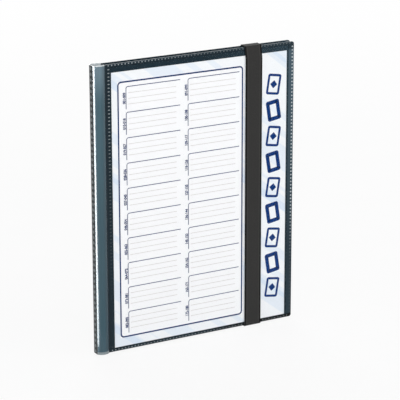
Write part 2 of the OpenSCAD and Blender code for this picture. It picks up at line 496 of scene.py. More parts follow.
# Painted light: the weld is painted a little lighter towards the fore edge, and lighter still along the
# fore weld towards the top. The pale line along the top edge is a painted highlight.
by_fore = clear_film.step(x, FORE_X - WELD_FORE, FORE_X - WELD_FORE + 0.8)
below_corner = clear_film.step(z, TOP_Z - 6, TOP_Z - 10)
paler_up = clear_film.step(z, 60, 310) * 0.46 + 0.03
painted_light = by_fore * below_corner * paler_up + clear_film.step(x, 20, FORE_X) * 0.08
rim = clear_film.step(z, TOP_Z - 1.3, TOP_Z - 0.5) * 0.29
weld_tone = clear_film.between((painted_light + streaks * 0.127).highest(rim), tint(12, 28, 36), tint(84, 104, 116))
foot_shade = clear_film.step(z, FOOT_Z + 4.0, FOOT_Z + 3.6) * clear_film.step(x, 0, 60) * 0.95
weld_tone = clear_film.between(foot_shade, weld_tone, tint(3, 5, 6))
edge_on = clear_film.node("ShaderNodeFresnel", sockets={"IOR": 1.45})
share = weld.highest((edge_on - 0.045) * 0.5)
dark = clear_film.step(weld, 0.0, 0.1)
clear_film.show(clear_film.see_through(share, clear_film.surface(
    Base_Color=clear_film.between(dark, tint(236, 242, 246), weld_tone),
    Metallic=(1 - dark) * 0.7,
    Roughness=weld * 0.2 + 0.14,
    Normal=clear_film.bump(sandy(clear_film, at) * weld, 0.004),
    Specular_IOR_Level=0.12,
)))
print("pocket window from", [round(v, 1) for v in POCKET])

# %% Back film
back_film = material("back_film")
at = back_film.place()
x, y, z = back_film.axes(at)
weld = weld_mask(back_film, x, z)
streaks = streaky(back_film, at, 0.4)
grain = back_film.node("ShaderNodeTexVoronoi", {"feature": "SMOOTH_F1"}, {"Vector": at, "Scale": 0.9})
back_film.show(back_film.surface(
    Base_Color=back_film.between(streaks * 0.35 + weld * 0.2, tint(18, 35, 43), tint(50, 68, 80)),
    Roughness=streaks * 0.15 + 0.32,
    Normal=back_film.bump(grain * (1 - weld) + sandy(back_film, at) * 0.3, 0.05),
    Specular_IOR_Level=0.25,
))
print("back film made")

# %% [markdown]
# ## Paper and inks
# The index sheet is smooth coated paper with a pale design in its margins: soft diagonal bands of ice blue.
# Inside the printed frame it stays white. Ink lies flat on paper, but the lines are drawn as very thin
# geometry, because a line of half a millimetre would blur in a baked texture.

# %% Paper
FRAME_LEFT = 6.8
FRAME_RIGHT = 156.0
FRAME_TOP = 10.4
FRAME_FOOT = 9.4
SHEET_W = sheet_high.x - sheet_low.x
SHEET_H = sheet_high.z - sheet_low.z


def within(finish, value, low, high, soft=0.1):
    """1 between low and high, with a narrow soft edge at both."""
    return finish.step(value, low - soft, low + soft) * finish.step(value, high + soft, high - soft)


paper = material("index_paper")
at = paper.place()
x, y, z = paper.axes(at)
u = x - sheet_low.x
v = z - sheet_low.z
inside = within(paper, u, FRAME_LEFT, FRAME_RIGHT) * within(paper, v, FRAME_FOOT, SHEET_H - FRAME_TOP)
slant = u * 0.78 + v
broad = paper.step((slant * 0.115).sine() + (slant * 0.043).sine() * 0.7, 0.35, 0.55)
narrow = paper.step((slant * 0.31 + 1.0).sine() + (slant * 0.071).sine(), 1.05, 1.2)
bands = broad * 0.55 + narrow * 0.45
fibre = paper.noise(at, 1.4, 4.0)
ground = paper.between(fibre * 0.3 + inside * 0.5, tint(243, 245, 247), tint(253, 251, 251))
paper.show(paper.surface(
    Base_Color=paper.between(bands * (1 - inside) * 0.6, ground, tint(206, 222, 240)),
    Roughness=fibre * 0.1 + 0.5,
    Normal=paper.bump(fibre, 0.006),
    Specular_IOR_Level=0.25,
))
print("sheet:", round(SHEET_W, 1), "x", round(SHEET_H, 1), "mm")


# %% Inks
def ink(name, deep, light):
    """A printed tone with the faint mottling of an offset print."""
    coat = material(name)
    speck = coat.noise(coat.place(), 3.5, 3.0)
    coat.show(coat.surface(
        Base_Color=coat.between(speck * 0.5, deep, light),
        Roughness=speck * 0.1 + 0.42,
        Specular_IOR_Level=0.1,
    ))
    return coat


frame_ink = ink("frame_ink", tint(0, 34, 90), tint(10, 62, 124))
line_ink = ink("line_ink", tint(36, 56, 96), tint(72, 94, 136))
rule_ink = ink("rule_ink", tint(206, 200, 198), tint(226, 221, 218))
card_ink = ink("card_ink", tint(0, 44, 104), tint(0, 72, 152))
INKS = [frame_ink, line_ink, rule_ink, card_ink]
print("inks:", [coat.owner.name for coat in INKS])

# %% [markdown]
# ## Webbing
# The elastic is a knitted tape: fine cords run along it, and each cord shows a row of small stitches. Its
# pattern follows the tape round the covers' ends, so it reads the piece's own UV map, in millimetres.

# %% Elastic webbing
CORD_PITCH = 1.25
STITCH_PITCH = 0.9
BAND_W = band_high.x - band_low.x

webbing = material("elastic_webbing")
uv = webbing.node("ShaderNodeUVMap", {"uv_map": "tape"})
across, along = webbing.axes(uv)[:2]
cord = across.wave(CORD_PITCH)
stitch = (along / STITCH_PITCH + cord * 0.6).wave(1.0)
knit = (1 - stitch) * 0.6 + (1 - cord) * 0.4
lint = webbing.noise(uv, 0.8, 4.0)
# Painted shade: both edges of the tape are painted near black, as the shade of its sides, with a paler line
# beside each.
from_edge = across.lowest(BAND_W - across)
painted_edge_shade = webbing.step(from_edge, 1.9, 1.4)
paler_line = webbing.step(from_edge, 1.9, 2.3) * webbing.step(from_edge, 3.2, 2.8)
yarn = webbing.between(knit * 0.5 + lint * 0.3 + paler_line * 0.3, tint(33, 33, 33), tint(67, 66, 65))
webbing.show(webbing.surface(
    Base_Color=webbing.between(painted_edge_shade * 0.9, yarn, tint(5, 5, 5)),
    Roughness=lint * 0.1 + 0.8,
    Normal=webbing.bump(knit, 0.12),
    Specular_IOR_Level=0.1,
    Sheen_Weight=0.08,
    Sheen_Roughness=0.5,
))
print("cords every", CORD_PITCH, "mm")

# %% [markdown]
# ## Rivet metal and binding
# The rivets are plain nickelled steel, a little scuffed by the tool that set them. The binding is the
# leaves' own margins, stacked and welded, so its ends show one thin layer after another. Layers that thin
# are too fine to model, so a wave across the binding's thickness draws them in its colour and its bump.

# %% Rivet metal
rivet_metal = material("rivet_metal")
at = rivet_metal.place()
scuff = rivet_metal.noise(rivet_metal.stretched(at, (1.0, 6.0, 1.0)), 3.0, 4.0)
rivet_metal.show(rivet_metal.surface(
    Base_Color=rivet_metal.between(scuff, tint(120, 124, 128), tint(196, 198, 200)),
    Metallic=1.0,
    Roughness=scuff * 0.25 + 0.22,
    Normal=rivet_metal.bump(scuff, 0.01),
))
print("rivet metal made")

# %% Binding of welded leaf margins
LEAF_PITCH = 0.32

binding = material("binding_plastic")
at = binding.place()
y = binding.axes(at)[1]
layer = y.wave(LEAF_PITCH)
cloudy = binding.noise(at, 0.5, 3.0)
binding.show(binding.surface(
    Base_Color=binding.between(layer * 0.5 + cloudy * 0.5, tint(150, 162, 168), tint(222, 228, 231)),
    Roughness=cloudy * 0.2 + 0.35,
    Normal=binding.bump(layer, 0.05),
))
print("binding shows a layer every", LEAF_PITCH, "mm")

# %% [markdown]
# ## Leaf film and pocket film
# The leaves are clear polypropylene with a breath of haze. Glass that bends the light would be slow through
# forty films, and film this thin hardly bends it. So the light goes straight through, apart from a small
# share that meets a glossy surface. That share grows at a flat angle, as it does on real film.


# %% Leaf film and pocket film
def leaf_finish(name, haze):
    """Clear film with a little haze, milky along its cut edges."""
    coat = material(name)
    at = coat.place()
    x, y, z = coat.axes(at)
    leaf_low, leaf_high = box_mm("leaf_10_sheet")
    rim = coat.step(x, leaf_high.x - 0.7, leaf_high.x - 0.3)
    rim = rim.highest(ends_mask(coat, z, leaf_low.z, leaf_high.z, 0.5))
    cloud = coat.noise(at, 0.05, 2.0)
    edge_on = coat.node("ShaderNodeFresnel", sockets={"IOR": 1.45})
    share = (edge_on * 0.28 + cloud * 0.015 + haze).highest(rim * 0.6)
    coat.show(coat.see_through(share, coat.surface(
        Base_Color=coat.between(rim, tint(232, 238, 242), tint(244, 247, 249)),
        Roughness=cloud * 0.1 + 0.16,
        Normal=coat.bump(sandy(coat, at), 0.004),
    )))
    return coat


leaf_film = leaf_finish("leaf_film", 0.008)
pocket_film = leaf_finish("pocket_film", 0.016)
print("leaf films made")

# %% [markdown]
# ## Weld finishes
# A heated roller joins the films and leaves beads. One finish for all beads paints glints of light on them
# as
# a paler tone: by the place on the cover, bright by the hinge near the top and faint at the foot, and on
# the crests of the spine's beads. The welds of the pockets are flat and half clear, with fine ticks across
# them.


# %% Weld bead finishes
def bead_finish(name, dull, pale, glint):
    """Film on a bead, painted paler where a glint of light falls on it."""
    coat = material(name)
    at = coat.place()
    speck = coat.noise(at, 0.14, 1.0)
    coat.show(coat.surface(
        Base_Color=coat.between(glint(coat, *coat.axes(at)) * (speck * 0.5 + 0.7), dull, pale),
        Roughness=speck * 0.15 + 0.4,
        Specular_IOR_Level=0.12,
    ))
    return coat


def glint_on_covers(coat, x, y, z):
    """Painted glints: brightest down the hinge near the top and down the fore edge, fainter along the ends
    and at the foot.
    """
    hinge = coat.step(x, HINGE_X + 8, HINGE_X + 6)
    fore = coat.step(x, FORE_X - 5, FORE_X - 3)
    top = coat.step(z, TOP_Z - 6, TOP_Z - 4) * (1 - fore) * (coat.step(x, 10, HINGE_X + 20) * 0.29 + 0.17)
    foot = coat.step(z, FOOT_Z + 6, FOOT_Z + 4) * (1 - fore) * (coat.step(x, 60, HINGE_X) * 0.13 + 0.29)
    down_hinge = hinge * (coat.step(z, 180, 270) * 0.24 + coat.step(z, 30, 220) * 0.1)
    down_fore = fore * (coat.step(z, 60, 150) * 0.66 + 0.06)
    return top.highest(foot).highest(down_hinge).highest(down_fore)


def glint_on_spine(coat, x, y, z):
    """A painted glint on the crests of the spine's beads."""
    return coat.step(x, spine_low.x - 0.12, spine_low.x - 0.5) * 0.8


weld_bead = bead_finish("weld_bead", tint(22, 36, 43), tint(216, 224, 228), glint_on_covers)
spine_bead = bead_finish("spine_bead", tint(57, 62, 64), tint(134, 141, 143), glint_on_spine)
print("bead finishes made")

# %% Pocket weld finish
TICK_PITCH = 0.8

pocket_weld = material("pocket_weld")
at = pocket_weld.place()
x, y, z = pocket_weld.axes(at)
ticks = (x + z).wave(TICK_PITCH)
pocket_weld.show(pocket_weld.see_through(ticks * 0.15 + 0.3, pocket_weld.surface(
    Base_Color=pocket_weld.between(ticks, tint(205, 214, 220), tint(238, 243, 246)),
    Roughness=0.35,
    Normal=pocket_weld.bump(ticks, 0.03),
)))
print("pocket welds have a tick every", TICK_PITCH, "mm")

# %% [markdown]
# ## Materials of the CAD nodes that stay
# Flat films, the sheet and the leaves already have the right shape in CAD. They only get their finishes.

# %% Finishes on CAD nodes
LEAVES = 20
KEPT = {
    "front_window_film": clear_film,
    "front_lining": dark_lining,
    "index_sheet": paper,
    "back_outer_film": back_film,
    "back_lining": dark_lining,
    "page_binding": binding,
}
leaf_names = [f"leaf_{number:02d}" for number in range(1, LEAVES + 1)]
for name in leaf_names:
    KEPT[name + "_sheet"] = leaf_film
    KEPT[name + "_pockets"] = pocket_film
for name, finish in KEPT.items():
    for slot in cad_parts[name].material_slots:
        slot.material = finish.owner
print("finishes set on", len(KEPT), "CAD nodes")

# %% [markdown]
# ## From a bmesh to a piece
# Every new piece ends the same way: turn the faces outwards, scale to metres, shade it smooth with sharp
# edges where it folds, and let it ride on its CAD body.

# %% Finish a piece
SHARP = 35


def moved(made):
    """The vertices among the geometry that an operator returns."""
    return [g for g in made if isinstance(g, bmesh.types.BMVert)]


def edges_of(made):
    """The edges among the geometry that an operator returns."""
    return [g for g in made if isinstance(g, bmesh.types.BMEdge)]


def edges_at(verts):
    """The edges that meet at some vertices, each of them once."""
    return list(dict.fromkeys(edge for vert in verts for edge in vert.link_edges))


def make_piece(bm, name, finishes, body, sharp=SHARP):
    """Makes a named piece of a bmesh. Edges that fold by more than sharp degrees stay sharp."""
    bmesh.ops.recalc_face_normals(bm, faces=bm.faces[:])
    bmesh.ops.scale(bm, vec=(MM, MM, MM), verts=bm.verts[:])
    for face in bm.faces:
        face.smooth = True
    for edge in bm.edges:
        edge.smooth = len(edge.link_faces) == 2 and edge.calc_face_angle() < math.radians(sharp)
    piece = add_object(name, mesh_of(bm, name))
    for finish in finishes:
        piece.data.materials.append(finish.owner)
    if body:
        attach(piece, body)
    print(name, "has", len(piece.data.polygons), "faces")
    return piece


print("most pieces stay sharp where they fold by more than", SHARP, "degrees")

# %% Draw points, walls and boxes
MERGE = 0.001


def extrude_point(bm, point, place):
    """Draws an edge from a point to a place and returns its far end."""
    tip = bmesh.ops.extrude_vert_indiv(bm, verts=[point])["verts"][0]
    tip.co = place
    return tip


def extrude_up(bm, height):
    """Raises every edge of an open outline into a wall."""
    made = bmesh.ops.extrude_edge_only(bm, edges=bm.edges[:])["geom"]
    bmesh.ops.translate(bm, vec=(0, 0, height), verts=moved(made))


def draw_box(bm, size, middle):
    """Draws a box about its middle and returns its vertices."""
    made = bmesh.ops.create_cube(bm, size=1)["verts"]
    bmesh.ops.scale(bm, vec=size, verts=made)
    bmesh.ops.translate(bm, vec=middle, verts=made)
    return made


def round_edges(bm, edges, radius):
    bmesh.ops.bevel(
        bm, geom=edges, offset=radius, offset_type="OFFSET", segments=2, profile=0.5,
        affect="EDGES", material=-1,
    )


print("points closer than", MERGE, "mm are merged")

# %% [markdown]
# ## Spine
# The spine is one film bent round the binding. Its back is part of a circle, its two flanks run straight
# down to the hinge lines, and a flat weld runs down the middle of its back. The packed solid has the same
# form in coarse facets. Spinning a point about the spine's axis gives a finer curve, and a wall follows
# from solidify. The narrow lamp is linked to this shell alone.

# %% Spine shell
SPINE_SLOPE = math.radians(41)
SPINE_WALL = 0.6
ARC_STEPS = 48

bm = bmesh.new()
middle = bm.verts.new((spine_low.x, 0, FOOT_Z))
turn_from = extrude_point(bm, middle, (spine_low.x, -SPINE_WELD_HALF, FOOT_Z))
sweep = math.radians(270) + SPINE_SLOPE - (math.pi + math.asin(SPINE_WELD_HALF / SPINE_R))
arc = bmesh.ops.spin(
    bm, geom=[turn_from], cent=(SPINE_X, 0, FOOT_Z), axis=(0, 0, 1), angle=sweep, steps=ARC_STEPS,
)
extrude_point(bm, moved(arc["geom_last"])[0], (spine_high.x, FRONT_Y, FOOT_Z))
half = bm.verts[:] + bm.edges[:]
bmesh.ops.mirror(bm, geom=half, matrix=Matrix.Identity(4), axis="Y", merge_dist=MERGE)
extrude_up(bm, TOP_Z - FOOT_Z)
bmesh.ops.recalc_face_normals(bm, faces=bm.faces[:])
weld_face = min(bm.faces, key=lambda face: face.calc_center_median().x)
if weld_face.normal.x > 0:
    bmesh.ops.reverse_faces(bm, faces=bm.faces[:])
bmesh.ops.solidify(bm, geom=bm.faces[:], thickness=SPINE_WALL)
reach = max(abs(v.co.y) for v in bm.verts)
print("spine reaches", round(reach, 2), "mm, and the CAD spine", round(SPINE_R, 2))
spine = make_piece(bm, "spine_shell", [smoky_film], "spine", sharp=25)
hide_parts("spine_film")

# %% Gloss on the spine alone
gloss_on = bpy.data.collections.new("gloss_on")
gloss_on.objects.link(spine)
lamps["gloss_strip"].light_linking.receiver_collection = gloss_on

# %% [markdown]
# ## Weld beads
# The films are joined by a toothed roller, which leaves a row of small oblong beads along every weld. Each
# bead is half a low sphere. Hundreds of them are needed, so one bead is made with few faces and then
# repeated.


# %% One bead and a row of beads
def bead_template():
    """The upper half of a sphere of radius 1, with a closed foot."""
    bm = bmesh.new()
    bmesh.ops.create_uvsphere(bm, u_segments=8, v_segments=6, radius=1)
    bmesh.ops.bisect_plane(
        bm, geom=bm.verts[:] + bm.edges[:] + bm.faces[:], dist=MERGE,
        plane_co=(0, 0, 0), plane_no=(0, 0, 1), clear_inner=True,
    )
    bmesh.ops.holes_fill(bm, edges=bm.edges[:])
    return mesh_of(bm, "bead_template")


def bead_row(bm, first, last, up, pitch, length, width, height):
    """Repeats the bead from first to last, lying along that line on a face that looks up."""
    first, last, up = Vector(first), Vector(last), Vector(up)
    run = last - first
    along = run.normalized()
    across = up.cross(along)
    count = round(run.length / pitch)
    turn = Matrix((along * length / 2, across * width / 2, up * height)).transposed().to_4x4()
    for number in range(count + 1):
        start = len(bm.verts)
        bm.from_mesh(bead)
        bm.verts.ensure_lookup_table()
        spot = Matrix.Translation(first + run * (number / count))
        bmesh.ops.transform(bm, matrix=spot @ turn, verts=bm.verts[start:])


bead = bead_template()
print("one bead has", len(bead.polygons), "faces")

# %% Beads on the covers
COVER_PITCH = 3.85
HINGE_ROW = 3.1
FORE_ROW = 1.9
FOOT_ROW = 1.6
TOP_ROW = 1.4
SIDE_INSET = 4
FORE_INSET = 3.4
# length, width and height of a bead
HINGE_BEAD = (1.3, 2.7, 0.25)
FORE_BEAD = (1.7, 1.9, 0.25)
END_BEAD = (1.5, 1.4, 0.25)


def cover_beads(face_y, name, body):
    """Rows of beads along the four sides of a cover, on its outer face."""
    up = (0, math.copysign(1, face_y), 0)
    hinge = HINGE_X + HINGE_ROW
    fore = FORE_X - FORE_ROW
    low = FOOT_Z + FOOT_ROW
    high = TOP_Z - TOP_ROW
    bm = bmesh.new()
    for x, size in ((hinge, HINGE_BEAD), (fore, FORE_BEAD)):
        bead_row(bm, (x, face_y, low + SIDE_INSET), (x, face_y, high - SIDE_INSET), up, COVER_PITCH, *size)
    for z in (low, high):
        bead_row(bm, (hinge, face_y, z), (fore - FORE_INSET, face_y, z), up, COVER_PITCH, *END_BEAD)
    make_piece(bm, name, [weld_bead], body)


cover_beads(FRONT_Y, "front_weld_beads", "front_cover")
cover_beads(REAR_Y, "back_weld_beads", "back_cover")

# %% Beads on the spine's weld
SPINE_PITCH = 6.0
SPINE_INSET = 3
SPINE_BEAD = (4.6, 5.4, 0.6)
STRIP_T = 0.12
STRIP_LESS = 0.2
STRIP_ROUND = 0.03

bm = bmesh.new()
first = (spine_low.x, 0, FOOT_Z + SPINE_INSET)
last = (spine_low.x, 0, TOP_Z - SPINE_INSET)
bead_row(bm, first, last, (-1, 0, 0), SPINE_PITCH, *SPINE_BEAD)
strip_size = (STRIP_T, 2 * SPINE_WELD_HALF - STRIP_LESS, TOP_Z - FOOT_Z - STRIP_LESS)
strip = draw_box(bm, strip_size, (spine_low.x - STRIP_T / 4, 0, (FOOT_Z + TOP_Z) / 2))
round_edges(bm, edges_at(strip), STRIP_ROUND)
make_piece(bm, "spine_weld_beads", [spine_bead], "spine")

# %% [markdown] ## Hinge films On the real album the film runs from the spine into the cover without a
# break, and the hinge is only a crease in it. The CAD bodies are apart there, so a narrow film bridges
# each crease.

# %% Hinge film finish
hinge_finish = material("hinge_film")
at = hinge_finish.place()
streaks = streaky(hinge_finish, at, 1.5)
hinge_finish.show(hinge_finish.surface(
    Base_Color=hinge_finish.between(streaks, tint(9, 23, 30), tint(26, 42, 51)),
    Roughness=streaks * 0.1 + 0.3,
    Normal=hinge_finish.bump(sandy(hinge_finish, at), 0.004),
    Specular_IOR_Level=0.15,
))
print("hinge film finish made")

# %% Hinge films
CREASE_T = 0.1
CREASE_LIFT = 0.03
CREASE_INSET = 0.2
CREASE_CUTS = 9
ON_SPINE = 1.6
LANDING = 0.3
ON_COVER = 2.0


def hinge_film(side, name):
    """A narrow film over the crease at the front (side -1) or the back (side 1)."""
    slope = Vector((math.cos(SPINE_SLOPE), math.sin(SPINE_SLOPE), 0))
    out = Vector((math.sin(SPINE_SLOPE), -math.cos(SPINE_SLOPE), 0))
    foot = Vector((spine_high.x, FRONT_Y, FOOT_Z + CREASE_INSET))
    bm = bmesh.new()
    start = bm.verts.new(foot - slope * ON_SPINE + out * CREASE_LIFT)
    crease = extrude_point(bm, start, foot + out * CREASE_LIFT)
    landing = extrude_point(bm, crease, Vector((HINGE_X + LANDING, FRONT_Y - CREASE_LIFT, foot.z)))
    fold = bm.edges.get((crease, landing))
    extrude_point(bm, landing, Vector((HINGE_X + ON_COVER, FRONT_Y - CREASE_LIFT, foot.z)))
    bmesh.ops.subdivide_edges(bm, edges=[fold], cuts=CREASE_CUTS)
    extrude_up(bm, TOP_Z - FOOT_Z - 2 * CREASE_INSET)
    bmesh.ops.recalc_face_normals(bm, faces=bm.faces[:])
    bm.faces.ensure_lookup_table()
    if bm.faces[0].normal.y < 0:
        bmesh.ops.reverse_faces(bm, faces=bm.faces[:])
    bmesh.ops.solidify(bm, geom=bm.faces[:], thickness=CREASE_T)
    if side > 0:
        bmesh.ops.scale(bm, vec=(1, -1, 1), verts=bm.verts[:])
    piece = make_piece(bm, name, [hinge_finish], None, sharp=80)
    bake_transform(piece)


hinge_film(-1, "front_hinge_film")
hinge_film(1, "back_hinge_film")

# %% [markdown]
# ## Index print
# The sheet lists the pages in two columns of ten blocks. A block is a line that bends round a corner, with
# three pale rules under it and the numbers of a leaf's pockets beside it. The print is drawn flat, with the
# sheet's lower left corner as its origin, then given the thickness of a thick ink film and stood up in
# front of the paper.


# %% Straight lines and outlines for the print
def bar(bm, left, right, middle, width, tone):
    """A straight printed line."""
    made = bmesh.ops.create_grid(bm, x_segments=1, y_segments=1, size=0.5)["verts"]
    bmesh.ops.scale(bm, vec=(right - left, width, 1), verts=made)
    bmesh.ops.translate(bm, vec=((left + right) / 2, middle, 0), verts=made)
    made[0].link_faces[0].material_index = tone


def rounded(bm, width, height, radius, line, tone):
    """The outline of a rounded rectangle about the origin. Returns its vertices."""
    made = bmesh.ops.create_grid(bm, x_segments=1, y_segments=1, size=0.5)["verts"]
    bmesh.ops.scale(bm, vec=(width, height, 1), verts=made)
    corners = bmesh.ops.bevel(
        bm, geom=made, offset=radius, offset_type="OFFSET", segments=6, profile=0.5,
        affect="VERTICES", material=-1,
    )
    face = corners["verts"][0].link_faces[0]
    rim = bmesh.ops.inset_region(
        bm, faces=[face], thickness=line, use_boundary=True, use_even_offset=True,
    )["faces"]
    for part in rim:
        part.material_index = tone
    bmesh.ops.delete(bm, geom=[face], context="FACES_ONLY")
    return list(dict.fromkeys(vert for part in rim for vert in part.verts))


print("straight lines and outlines can be drawn")

# %% Line of a block
LINE_W = 0.8
LINE_CORNER = 2.6


def paint_new(bm, known, tone):
    """Gives a tone to the faces that aren't known yet."""
    for face in bm.faces:
        if face not in known:
            face.material_index = tone


def block_line(bm, left, right, top, drop, tone):
    """The line of a block: up its left side, round the corner, and along its top."""
    known = set(bm.faces)
    foot = bmesh.ops.create_vert(bm, co=(left, top - drop, 0))["vert"][0]
    side = extrude_point(bm, foot, (left + LINE_W, top - drop, 0))
    edge = bm.edges.get((foot, side))
    rise = bmesh.ops.extrude_edge_only(bm, edges=[edge])["geom"]
    bmesh.ops.translate(bm, vec=(0, drop - LINE_CORNER, 0), verts=moved(rise))
    turn = bmesh.ops.spin(
        bm, geom=edges_of(rise), cent=(left + LINE_CORNER, top - LINE_CORNER, 0),
        axis=(0, 0, -1), angle=math.pi / 2, steps=6,
    )["geom_last"]
    run = bmesh.ops.extrude_edge_only(bm, edges=edges_of(turn))["geom"]
    bmesh.ops.translate(bm, vec=(right - left - LINE_CORNER, 0, 0), verts=moved(run))
    paint_new(bm, known, tone)


print("block lines are", LINE_W, "mm wide")

# %% Number labels
LABEL_SIZE = 4.2
LABEL_BOLD = 0.2
LABEL_SPACING = 1.02
LABEL_NARROW = 0.84


def number_mesh(first, last):
    """Two plain numbers as a flat mesh, centred on the origin and reading upwards."""
    words = bpy.data.curves.new("number", "FONT")
    words.body = f"{first:03d}-{last:03d}"
    words.size = LABEL_SIZE
    words.offset = LABEL_BOLD
    words.space_character = LABEL_SPACING
    words.align_x = "CENTER"
    words.align_y = "CENTER"
    words.resolution_u = 3
    holder = add_object("number", words)
    shaped = holder.evaluated_get(bpy.context.evaluated_depsgraph_get())
    flat = bpy.data.meshes.new_from_object(shaped)
    bpy.data.objects.remove(holder)
    flat.transform(Matrix.Rotation(math.pi / 2, 4, "Z") @ Matrix.Diagonal((LABEL_NARROW, 1, 1, 1)))
    return flat


def label(bm, numbers, place, tone):
    """Adds the numbers of a leaf's first and last pocket at a place."""
    start = len(bm.verts)
    known = set(bm.faces)
    bm.from_mesh(number_mesh(*numbers))
    bm.verts.ensure_lookup_table()
    bmesh.ops.translate(bm, vec=place, verts=bm.verts[start:])
    paint_new(bm, known, tone)


print("labels are set at", LABEL_SIZE, "mm")

# %% Draw the print
FRAME_CORNER = 4.2
FRAME_LINE = 1.55
COLUMNS = [(16.4, 80.0), (89.0, 151.5)]
BLOCKS = 10
BLOCK_TOP = 16.0
BLOCK_PITCH = 27.0
BLOCK_GAP = 3.0
RULES = (0.26, 0.48, 0.70)
RULE_W = 0.5
RULE_LEFT = 3.0
RULE_RIGHT = 4.5
LABEL_LEFT = 1.7
LABEL_DROP = 0.46
POCKET_ROWS = 3
POCKETS_ACROSS = 3
POCKETS = POCKET_ROWS * POCKETS_ACROSS
FRAME_TONE, LINE_TONE, RULE_TONE, CARD_TONE = range(len(INKS))

bm = bmesh.new()
frame_w = FRAME_RIGHT - FRAME_LEFT
frame_h = SHEET_H - FRAME_TOP - FRAME_FOOT
ring = rounded(bm, frame_w, frame_h, FRAME_CORNER, FRAME_LINE, FRAME_TONE)
bmesh.ops.translate(bm, vec=(FRAME_LEFT + frame_w / 2, FRAME_FOOT + frame_h / 2, 0), verts=ring)
for column, (left, right) in enumerate(COLUMNS):
    for row in range(BLOCKS):
        top = SHEET_H - BLOCK_TOP - row * BLOCK_PITCH
        block_line(bm, left, right, top, BLOCK_PITCH - BLOCK_GAP, LINE_TONE)
        for share in RULES:
            bar(bm, left + RULE_LEFT, right - RULE_RIGHT, top - share * BLOCK_PITCH, RULE_W, RULE_TONE)
        before = (column * BLOCKS + row) * POCKETS
        place = (left - LABEL_LEFT, top - BLOCK_PITCH * LABEL_DROP, 0)
        label(bm, (before + 1, before + POCKETS), place, FRAME_TONE)
print("index print has", len(bm.faces), "flat faces so far")

# %% Card shapes at the side of the sheet
CARD_X = 194.0
CARD_W = 16.5
CARD_H = 22.5
CARD_CORNER = 2.4
CARD_TILT = 9.0
CARD_ROWS = 9
CARD_PITCH = 28.5
CARD_FIRST = 34.0
BOLD_LINE = 4.4
PLAIN_LINE = 2.6
DIAMOND_R = 4.4


def diamond(bm, size, tone):
    """A filled square on its tip. Returns its vertices."""
    made = bmesh.ops.create_circle(bm, cap_ends=True, radius=size, segments=4)["verts"]
    made[0].link_faces[0].material_index = tone
    return made


for row in range(CARD_ROWS):
    bold = row % 2 == 1
    card = rounded(bm, CARD_W, CARD_H, CARD_CORNER, BOLD_LINE if bold else PLAIN_LINE, CARD_TONE)
    if not bold:
        card += diamond(bm, DIAMOND_R, CARD_TONE)
    tilt = math.radians(CARD_TILT if bold else -CARD_TILT)
    bmesh.ops.rotate(bm, matrix=Matrix.Rotation(tilt, 3, "Z"), verts=card)
    bmesh.ops.translate(bm, vec=(CARD_X, CARD_FIRST + row * CARD_PITCH, 0), verts=card)
print("cards drawn:", CARD_ROWS)

# %% Stand the print up in front of the paper
INK_T = 0.014
INK_GAP = 0.003

bmesh.ops.recalc_face_normals(bm, faces=bm.faces[:])
for face in bm.faces:
    if face.normal.z < 0:
        face.normal_flip()
bmesh.ops.solidify(bm, geom=bm.faces[:], thickness=INK_T)
lowest = min(v.co.z for v in bm.verts)
bmesh.ops.translate(bm, vec=(0, 0, INK_GAP - lowest), verts=bm.verts[:])
stand = Matrix.Translation(sheet_low) @ Matrix.Rotation(math.pi / 2, 4, "X")
bmesh.ops.transform(bm, matrix=stand, verts=bm.verts[:])
make_piece(bm, "index_print", INKS, "front_cover")

# %% [markdown]
# ## Elastic band
# The band is a flat knitted tape. It starts on the back cover, goes round the bottom, up the front, over
# the top and back down to the back cover. Its section is swept along that way: straight runs are extruded,
# and the bends round the covers' edges are spun. Shallow cords run along the tape, with a plain edge at
# each side. Nobody sews such a band perfectly straight: where it goes over the top, it leans a little to
# the spine.

# %% Measures of the tape and ways to sweep it
CORDS = 15
CORD_DEPTH = 0.10
BAND_T = band_high.y - REAR_Y
BAND_GAP = FRONT_Y - (band_low.y + BAND_T)
TAB = 30.0
BEND_STEPS = 8
LEAN_RUN = 14.0
LEAN_STEPS = 6
rear_bend = REAR_Y - BAND_GAP
band_mid = (band_low.x + band_high.x) / 2


def open_rim(edges):
    """Those edges that lie on the open end of the sweep."""
    return [edge for edge in edges if len(edge.link_faces) == 1]


def sweep_straight(bm, rim, way):
    made = bmesh.ops.extrude_edge_only(bm, edges=rim)["geom"]
    bmesh.ops.translate(bm, vec=way, verts=moved(made))
    return open_rim(edges_of(made))


def sweep_bend(bm, rim, y, z):
    made = bmesh.ops.spin(
        bm, geom=rim, cent=(0, y, z), axis=(1, 0, 0), angle=-math.pi / 2, steps=BEND_STEPS,
    )
    return open_rim(edges_of(made["geom_last"]))


print("tape is", round(BAND_W, 1), "mm wide and", round(BAND_T, 2), "mm thick")

# %% Sweep the tape
bm = bmesh.new()
section = bmesh.ops.create_grid(bm, x_segments=CORDS * 2, y_segments=1, size=0.5)["verts"]
bmesh.ops.scale(bm, vec=(BAND_W, BAND_T, 1), verts=section)
bmesh.ops.translate(bm, vec=(band_mid, REAR_Y + BAND_T / 2, FOOT_Z + TAB), verts=section)
for vert in section:
    place = round((vert.co.x - band_low.x) / BAND_W * CORDS * 2)
    if place % 2 == 0 and 0 < place < CORDS * 2:
        vert.co.y += CORD_DEPTH if vert.co.y < REAR_Y + BAND_T / 2 else -CORD_DEPTH
bmesh.ops.delete(bm, geom=bm.faces[:], context="FACES_KEEP_BOUNDARY")
rim = sweep_straight(bm, bm.edges[:], (0, 0, -TAB))
rim = sweep_bend(bm, rim, rear_bend, FOOT_Z)
rim = sweep_straight(bm, rim, (0, FRONT_Y - rear_bend, 0))
rim = sweep_bend(bm, rim, FRONT_Y, FOOT_Z)
rim = sweep_straight(bm, rim, (0, 0, TOP_Z - FOOT_Z - LEAN_RUN))
